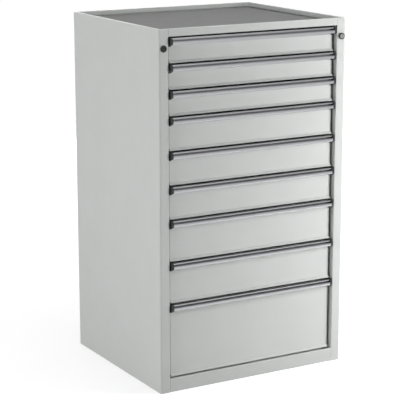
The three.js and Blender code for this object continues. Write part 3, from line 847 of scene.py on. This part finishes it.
def front_sheet(name, node_name, rise):
    """One drawer front. Point = (x across, face + depth across + depth down, z down)."""
    low, high = box_mm(node_name)
    half, face, depth = high[0], low[1], high[1] - low[1]
    foot = low[2] + rise
    across = rounded(
        [(-half, depth, 0), (-half, 0, FRONT_BEND), (half, 0, FRONT_BEND), (half, depth, 0)],
        closed=False,
    )
    down = rounded(
        [
            (depth, high[2], 0),
            (0, high[2], FRONT_BEND),
            (0, foot + LIP_HEIGHT, LIP_BEND),
            (-LIP_REACH, foot, 0),
        ],
        closed=False,
    )
    surface = np.empty((len(across), len(down), 3))
    surface[..., 0] = across[:, None, 0]
    surface[..., 1] = face + across[:, None, 1] + down[None, :, 0]
    surface[..., 2] = down[None, :, 1]

    side_cell, down_cell = np.arange(len(across) - 1), np.arange(len(down) - 1)
    side_flange = (side_cell == 0) | (side_cell == side_cell[-1])
    off_face = side_cell != len(across) // 2 - 1
    off_straight = down_cell != BEND_STEPS + 1
    top_flange = down_cell == 0
    cut = side_flange[:, None] & off_straight | off_face[:, None] & top_flange
    return sheet(name, surface, FRONT_SHEET, ~cut)


for n in DRAWERS:
    rise = FOOT_RISE if n == DRAWERS[-1] else 0
    piece = front_sheet(f"drawer_{n}_front_sheet", f"drawer_{n}_front", rise)
    fit(piece, f"drawer_{n}", "front_paint", f"drawer_{n}_front")
print("fronts:", len(piece.data.polygons), "faces each")

# %% [markdown]
# ## Grip bars and caps
#
# The grip bar is an aluminium extrusion: a gutter behind a round bead, a deep slot under it,
# and a bulging band with room behind it for the fingertips. Its section is drawn once and carried
# along the front, as the press does with the real one.

# %% Grip bars
BAR_TOP = 4.3  # from the top of the drawer's step to the bead
BAR_STATIONS = 7
BAR_CORNERS = [  # y from the front's face, z from the top of the drawer's step, radius
    (-SEAT_GAP, -7.0, 0.3),
    (-10.6, -7.0, 0.5),
    (-10.6, -BAR_TOP, 1.3),
    (-14.0, -BAR_TOP, 1.65),
    (-14.0, -8.6, 1.2),
    (-3.6, -8.6, 0.5),
    (-3.6, -12.4, 0.5),
    (-17.6, -12.4, 0.9),
    (-19.6, -16.95, 13.0),
    (-18.1, -21.7, 0.6),
    (-16.5, -21.7, 0.4),
    (-16.5, -14.0, 0.8),
    (-1.9, -14.0, 0.8),
    (-1.9, -27.0, 0.3),
    (-SEAT_GAP, -27.0, 0.3),
]
bar_section = rounded(BAR_CORNERS)


def grip_bar(name, node_name):
    """The section carried from cap to cap, at the height of its drawer."""
    low, high = box_mm(node_name)
    section = bar_section + [high[1] + SEAT_GAP, high[2] + BAR_TOP]
    return ringed(name, carried(section, np.linspace(low[0], high[0], BAR_STATIONS), axis=0))


print("the bar's section has", len(bar_section), "points")

# %% [markdown]
# The cap at each end is moulded: a flat top, a wide round nose, a slope back to the front, and a
# soft outer edge. A bevelled block would be soft all round, while the real cap is soft outside
# only. So its outline is stacked along the bar, and ever smaller ones make that edge.

# %% Caps
CAP_NOSE = 18.4  # height of the flat front
CAP_BACK_BEND, CAP_BROW_BEND, CAP_CHIN_BEND = 1.2, 8.0, 3.0
CAP_BEND_STEPS = 8
CAP_EDGE = 1.0
CAP_EDGE_STEPS = 5


def end_cap(name, node_name, outer):
    """A cap: its outline from the inner side to the outer one, drawn in over a round edge."""
    low, high = box_mm(node_name)
    outline = rounded(
        [
            (high[1], high[2], CAP_BACK_BEND),
            (low[1], high[2], CAP_BROW_BEND),
            (low[1], high[2] - CAP_NOSE, CAP_CHIN_BEND),
            (high[1], low[2], CAP_BACK_BEND),
        ],
        steps=CAP_BEND_STEPS,
    )
    turn = quarter(CAP_EDGE_STEPS)
    inner_x, outer_x = (low[0], high[0]) if outer > 0 else (high[0], low[0])
    round_edge = outer_x - outer * CAP_EDGE * (1 - np.sin(turn))
    places = [inner_x, inner_x + outer * HIDDEN_EDGE, *round_edge]
    steps_in = [HIDDEN_EDGE, 0.0, *(CAP_EDGE * (1 - np.cos(turn)))]
    return ringed(name, stacked(outline, places, 0, steps_in))


for n in DRAWERS:
    bar = grip_bar(f"drawer_{n}_grip_bar", f"drawer_{n}_handle")
    fit(bar, f"drawer_{n}", "handle_aluminium", f"drawer_{n}_handle")
    for word, outer in (("left", -1), ("right", 1)):
        cap = end_cap(f"drawer_{n}_end_cap_{word}", f"drawer_{n}_cap_{word}", outer)
        fit(cap, f"drawer_{n}", "black_plastic", f"drawer_{n}_cap_{word}")
print("bar:", len(bar.data.polygons), "faces, cap:", len(cap.data.polygons), "faces")

# %% [markdown]
# ## Drawer boxes
#
# Behind each front hangs a box of thin sheet, with its brim folded inwards so that no cut edge is
# left to catch a hand. Rings run from the brim's edge outwards, down the wall, round the lower
# bend and in over the floor, and Solidify gives them the sheet's thickness. A folded runner on
# each side rests in the rails, and a lug on the right meets the locking bar.

# %% Boxes
BOX_SHEET = 1.2
BRIM_FOLD, BRIM_BEND = 7.0, 1.8
BOX_BEND = 2.0
BOX_CORNER = 3.0
RUNNER_REACH = 16.0


def drawer_tub(name, wall, low, high):
    """The box: (step in, height) pairs carried round a rectangle with round corners."""
    line = rounded(
        [
            (BRIM_FOLD, high[2], 0),
            (0, high[2], BRIM_BEND),
            (0, low[2], BOX_BEND),
            (BRIM_FOLD, low[2], 0),
        ],
        closed=False,
    )
    rings = lying_rings(wall, low[1], high[1], line[:, 0], line[:, 1], BOX_CORNER)
    rows, around = rings.shape[:2]
    faces = bands(rows, around, ring=True)[:, ::-1].tolist()
    faces.append(list(range((rows - 1) * around, rows * around))[::-1])
    return thicken(new_piece(name, rings, faces), BOX_SHEET, quality=False)


print("the brim folds in by", BRIM_FOLD, "mm")

# %% Runners
STEP_LIFT = 12.0  # from the box's brim to the top of the drawer's step
RUNNER_DROP = 30.0
RUNNER_HEIGHT = 10.0
RUNNER_BEND = 2.0


def runner(name, side, wall, low, high):
    """A shelf and an upright edge, carried along the drawer."""
    shelf = high[2] + STEP_LIFT - RUNNER_DROP
    profile = rounded(
        [
            (wall, shelf - BOX_SHEET, 0),
            (wall + RUNNER_REACH, shelf - BOX_SHEET, RUNNER_BEND),
            (wall + RUNNER_REACH, shelf + RUNNER_HEIGHT, 0),
        ],
        closed=False,
    )
    profile[:, 0] *= side
    surface = carried(profile, [low[1], high[1]], axis=1)
    return sheet(name, surface, BOX_SHEET, turn_over=side > 0)


print("the runners reach", RUNNER_REACH, "mm out of the box's walls")

# %% Lugs
LUG_DROP = 48.0
LUG_FRONT = 5.2
LUG_DEPTH, LUG_HEIGHT = 7.5, 8
LUG_BEND, LUG_EDGE = 0.8, 0.6
LUG_ROOT = 0.5  # how far it is sunk in the wall


def lug(name, wall, low, high):
    """The tab that the locking bar's tooth stands in front of."""
    top = high[2] + STEP_LIFT - LUG_DROP
    front = low[1] + LUG_FRONT
    line = rounded(
        [
            (front, top - LUG_HEIGHT, LUG_BEND),
            (front + LUG_DEPTH, top - LUG_HEIGHT, LUG_BEND),
            (front + LUG_DEPTH, top, LUG_BEND),
            (front, top, LUG_BEND),
        ]
    )
    end = wall + RUNNER_REACH
    places = [wall - LUG_ROOT, end - LUG_EDGE, end]
    return ringed(name, stacked(line, places, 0, steps_in=[0, 0, LUG_EDGE]))


for n in DRAWERS:
    low, high = box_mm(f"drawer_{n}_box")
    wall = high[0] - RUNNER_REACH
    tub = drawer_tub(f"drawer_{n}_tub", wall, low, high)
    fit(tub, f"drawer_{n}", "drawer_paint", f"drawer_{n}_box")
    for word, side in (("left", -1), ("right", 1)):
        fit(runner(f"drawer_{n}_runner_{word}", side, wall, low, high), f"drawer_{n}", "zinc_steel")
    fit(lug(f"drawer_{n}_lug", wall, low, high), f"drawer_{n}", "zinc_steel")
print("box wall at", wall, "mm, tub", len(tub.data.polygons), "faces")

# %% [markdown]
# ## The lock and the plug
#
# The lock's body is turned: a profile of radius and depth swept round its axis. A Screw modifier
# could do the same, but rings of points can also end in another outline, as the barrel's do. A
# black bezel sits round the body, which matches the plug in the other post. That plug closes the
# same hole: a domed ring in a deep groove, with a hole in its middle.

# %% Turned pieces
AROUND = 64
FIRST_ANGLE = np.radians(225)  # where a rectangle's outline starts too, seen from its middle
ROUND = np.linspace(0, 2 * np.pi, AROUND, endpoint=False) + FIRST_ANGLE


def swept(profile, x, z):
    """Rings about an axis along Y: radius and depth behind the posts' faces, row by row."""
    profile = np.asarray(profile, float)
    rings = np.empty((len(profile), AROUND, 3))
    rings[..., 0] = x + profile[:, :1] * np.cos(ROUND)
    rings[..., 1] = FACE_Y + profile[:, 1:2]
    rings[..., 2] = z + profile[:, :1] * np.sin(ROUND)
    return rings


HOUSING_CORNERS = [  # radius, depth behind the post's face, radius of the bend
    (6.3, -4.6, 0.3),
    (6.9, -4.6, 0.2),
    (6.9, -0.3, 0.2),
    (8.0, -0.3, 0),
    (8.0, 15.0, 0.4),
    (6.3, 15.0, 0),
]
BEZEL_CORNERS = [
    (7.0, -4.2, 0.3),
    (7.6, -5.0, 0.4),
    (9.0, -5.0, 0.6),
    (9.6, -4.3, 0.5),
    (9.6, -0.3, 0.3),
    (7.0, -0.3, 0),
]
housing = ringed("lock_body", swept(rounded(HOUSING_CORNERS), LOCK_X, LOCK_Z), loop=True)
fit(housing, "cabinet", "lock_nickel", "lock_housing")
bezel = ringed("lock_bezel", swept(rounded(BEZEL_CORNERS), LOCK_X, LOCK_Z), loop=True)
fit(bezel, "cabinet", "black_plastic")
print("lock body:", len(housing.data.polygons), "faces, bezel:", len(bezel.data.polygons), "faces")

# %% Plug
PLUG_CORNERS = [  # radius, depth behind the post's face, radius of the bend
    (1.0, 1.2, 0),
    (1.9, 1.2, 0.2),
    (2.1, -1.9, 0.8),
    (5.9, -1.9, 1.6),
    (6.1, 0.6, 0.3),
    (7.1, 0.6, 0.3),
    (7.3, -2.3, 0.4),
    (10.0, -2.3, 1.2),
    (10.0, -0.3, 0.2),
    (8.0, -0.3, 0),
    (8.0, 8.0, 0.5),
    (5.0, 8.0, 0),
]
plug = ringed("left_plug", swept(rounded(PLUG_CORNERS, closed=False), -LOCK_X, LOCK_Z))
fit(plug, "cabinet", "black_plastic", "blanking_plug")
print("plug:", len(plug.data.polygons), "faces")

# %% [markdown]
# The barrel inside the lock starts at the bottom of the keyway, whose outline of a rounded slot
# grows into a circle on the barrel's face. The picture shows the keyway as a leaning band, so the
# whole barrel is turned a little.

# %% Lock barrel
KEYWAY_LEAN = np.radians(30)
KEYWAY_HALF, KEYWAY_REACH, KEYWAY_BEND = 1.7, 4.3, 1.5
KEYWAY_DEPTHS = (-2.0, -4.7)
MOUTH_DEPTH, MOUTH_WIDER, MOUTH_HIGHER = 5.0, 1.25, 1.06
BARREL_PROFILE = [(5.5, -5.0), (5.85, -4.85), (6.0, -4.5), (6.0, 18.0), (5.7, 18.3)]


def keyed_barrel(name):
    """Rings from the keyway's floor to its mouth, over the face and back along the barrel. All of
    them turn about the barrel's axis by the keyway's lean."""
    corner_steps = AROUND // 4 - 1  # so that the slot has as many points as a turned ring
    slot = rectangle(KEYWAY_HALF, -KEYWAY_REACH, KEYWAY_REACH, KEYWAY_BEND, corner_steps)
    axis = np.array([LOCK_X, LOCK_Z])
    slot_rings = [np.insert(axis + slot, 1, FACE_Y + y, axis=1) for y in KEYWAY_DEPTHS]
    mouth = axis + slot * [MOUTH_WIDER, MOUTH_HIGHER]
    mouth = np.insert(mouth, 1, FACE_Y - MOUTH_DEPTH, axis=1)
    body = swept(BARREL_PROFILE, LOCK_X, LOCK_Z)
    rings = np.concatenate([slot_rings, [mouth], body])
    across, up = rings[..., 0] - LOCK_X, rings[..., 2] - LOCK_Z
    rings[..., 0] = LOCK_X + across * np.cos(KEYWAY_LEAN) + up * np.sin(KEYWAY_LEAN)
    rings[..., 2] = LOCK_Z + up * np.cos(KEYWAY_LEAN) - across * np.sin(KEYWAY_LEAN)
    return ringed(name, rings)


barrel = keyed_barrel("lock_key_barrel")
fit(barrel, "lock_barrel", "lock_nickel", "lock_barrel")
print("barrel:", len(barrel.data.polygons), "faces")

# %% [markdown]
# A crank and a pin behind the post lift the locking bar when the barrel turns. Nobody sees them
# with the drawers shut, so they are plain plates and pins with soft edges.

# %% Crank and pin
PIN = (LOCK_X - 5.0, LOCK_Z - 5.0)
PIN_PROFILE = [(1.7, 18.0), (2.0, 18.3), (2.0, 28.6), (1.6, 29.0)]
CRANK_RADIUS = 3.5
CRANK_FROM, CRANK_TO = 15.4, 18.3
CRANK_BEND_STEPS = 10
NOT_QUITE = 0.999  # two bends of the full radius would leave no straight between them


def standing_link(name, start, end, radius, y_from, y_to):
    """A flat link with round ends between two points (x, z) of the front's plane."""
    start, end = np.array(start), np.array(end)
    along = unit(end - start)
    side = np.array([-along[1], along[0]])
    corners = [
        start - (along + side) * radius,
        end + (along - side) * radius,
        end + (along + side) * radius,
        start - (along - side) * radius,
    ]
    line = rounded([(*corner, radius * NOT_QUITE) for corner in corners], steps=CRANK_BEND_STEPS)
    depths = np.array([y_from, y_from + HIDDEN_EDGE, y_to - HIDDEN_EDGE, y_to])
    return ringed(name, stacked(line, FACE_Y + depths, 1, [HIDDEN_EDGE, 0, 0, HIDDEN_EDGE]))


crank = standing_link("lock_crank", (LOCK_X, LOCK_Z), PIN, CRANK_RADIUS, CRANK_FROM, CRANK_TO)
fit(crank, "lock_barrel", "zinc_steel")
pin = ringed("lock_pin", swept(PIN_PROFILE, *PIN))
fit(pin, "lock_barrel", "zinc_steel")
print("lock at", LOCK_X, LOCK_Z, "pin at", PIN)

# %% [markdown]
# ## The pieces that stay as measured
#
# The racks, the base, the tray, the locking bar and the nut have the right shape already, and
# hardly anything of them is seen, so finer surfaces would be lost. Their meshes stay as they are,
# and only their finish is new: the record says which finish each has.

# %% Finishes of the measured nodes
for row in record["subparts"]:
    mesh = frame["nodes"][row["node"]].data
    mesh.materials.clear()
    mesh.materials.append(finishes[row["material_slot"]])
print(len(record["subparts"]), "nodes have their finish")

# %% [markdown]
# ## Last steps
#
# The picture keeps its colours as they are written.

# %% Colour
bpy.context.scene.view_settings.view_transform = "Standard"
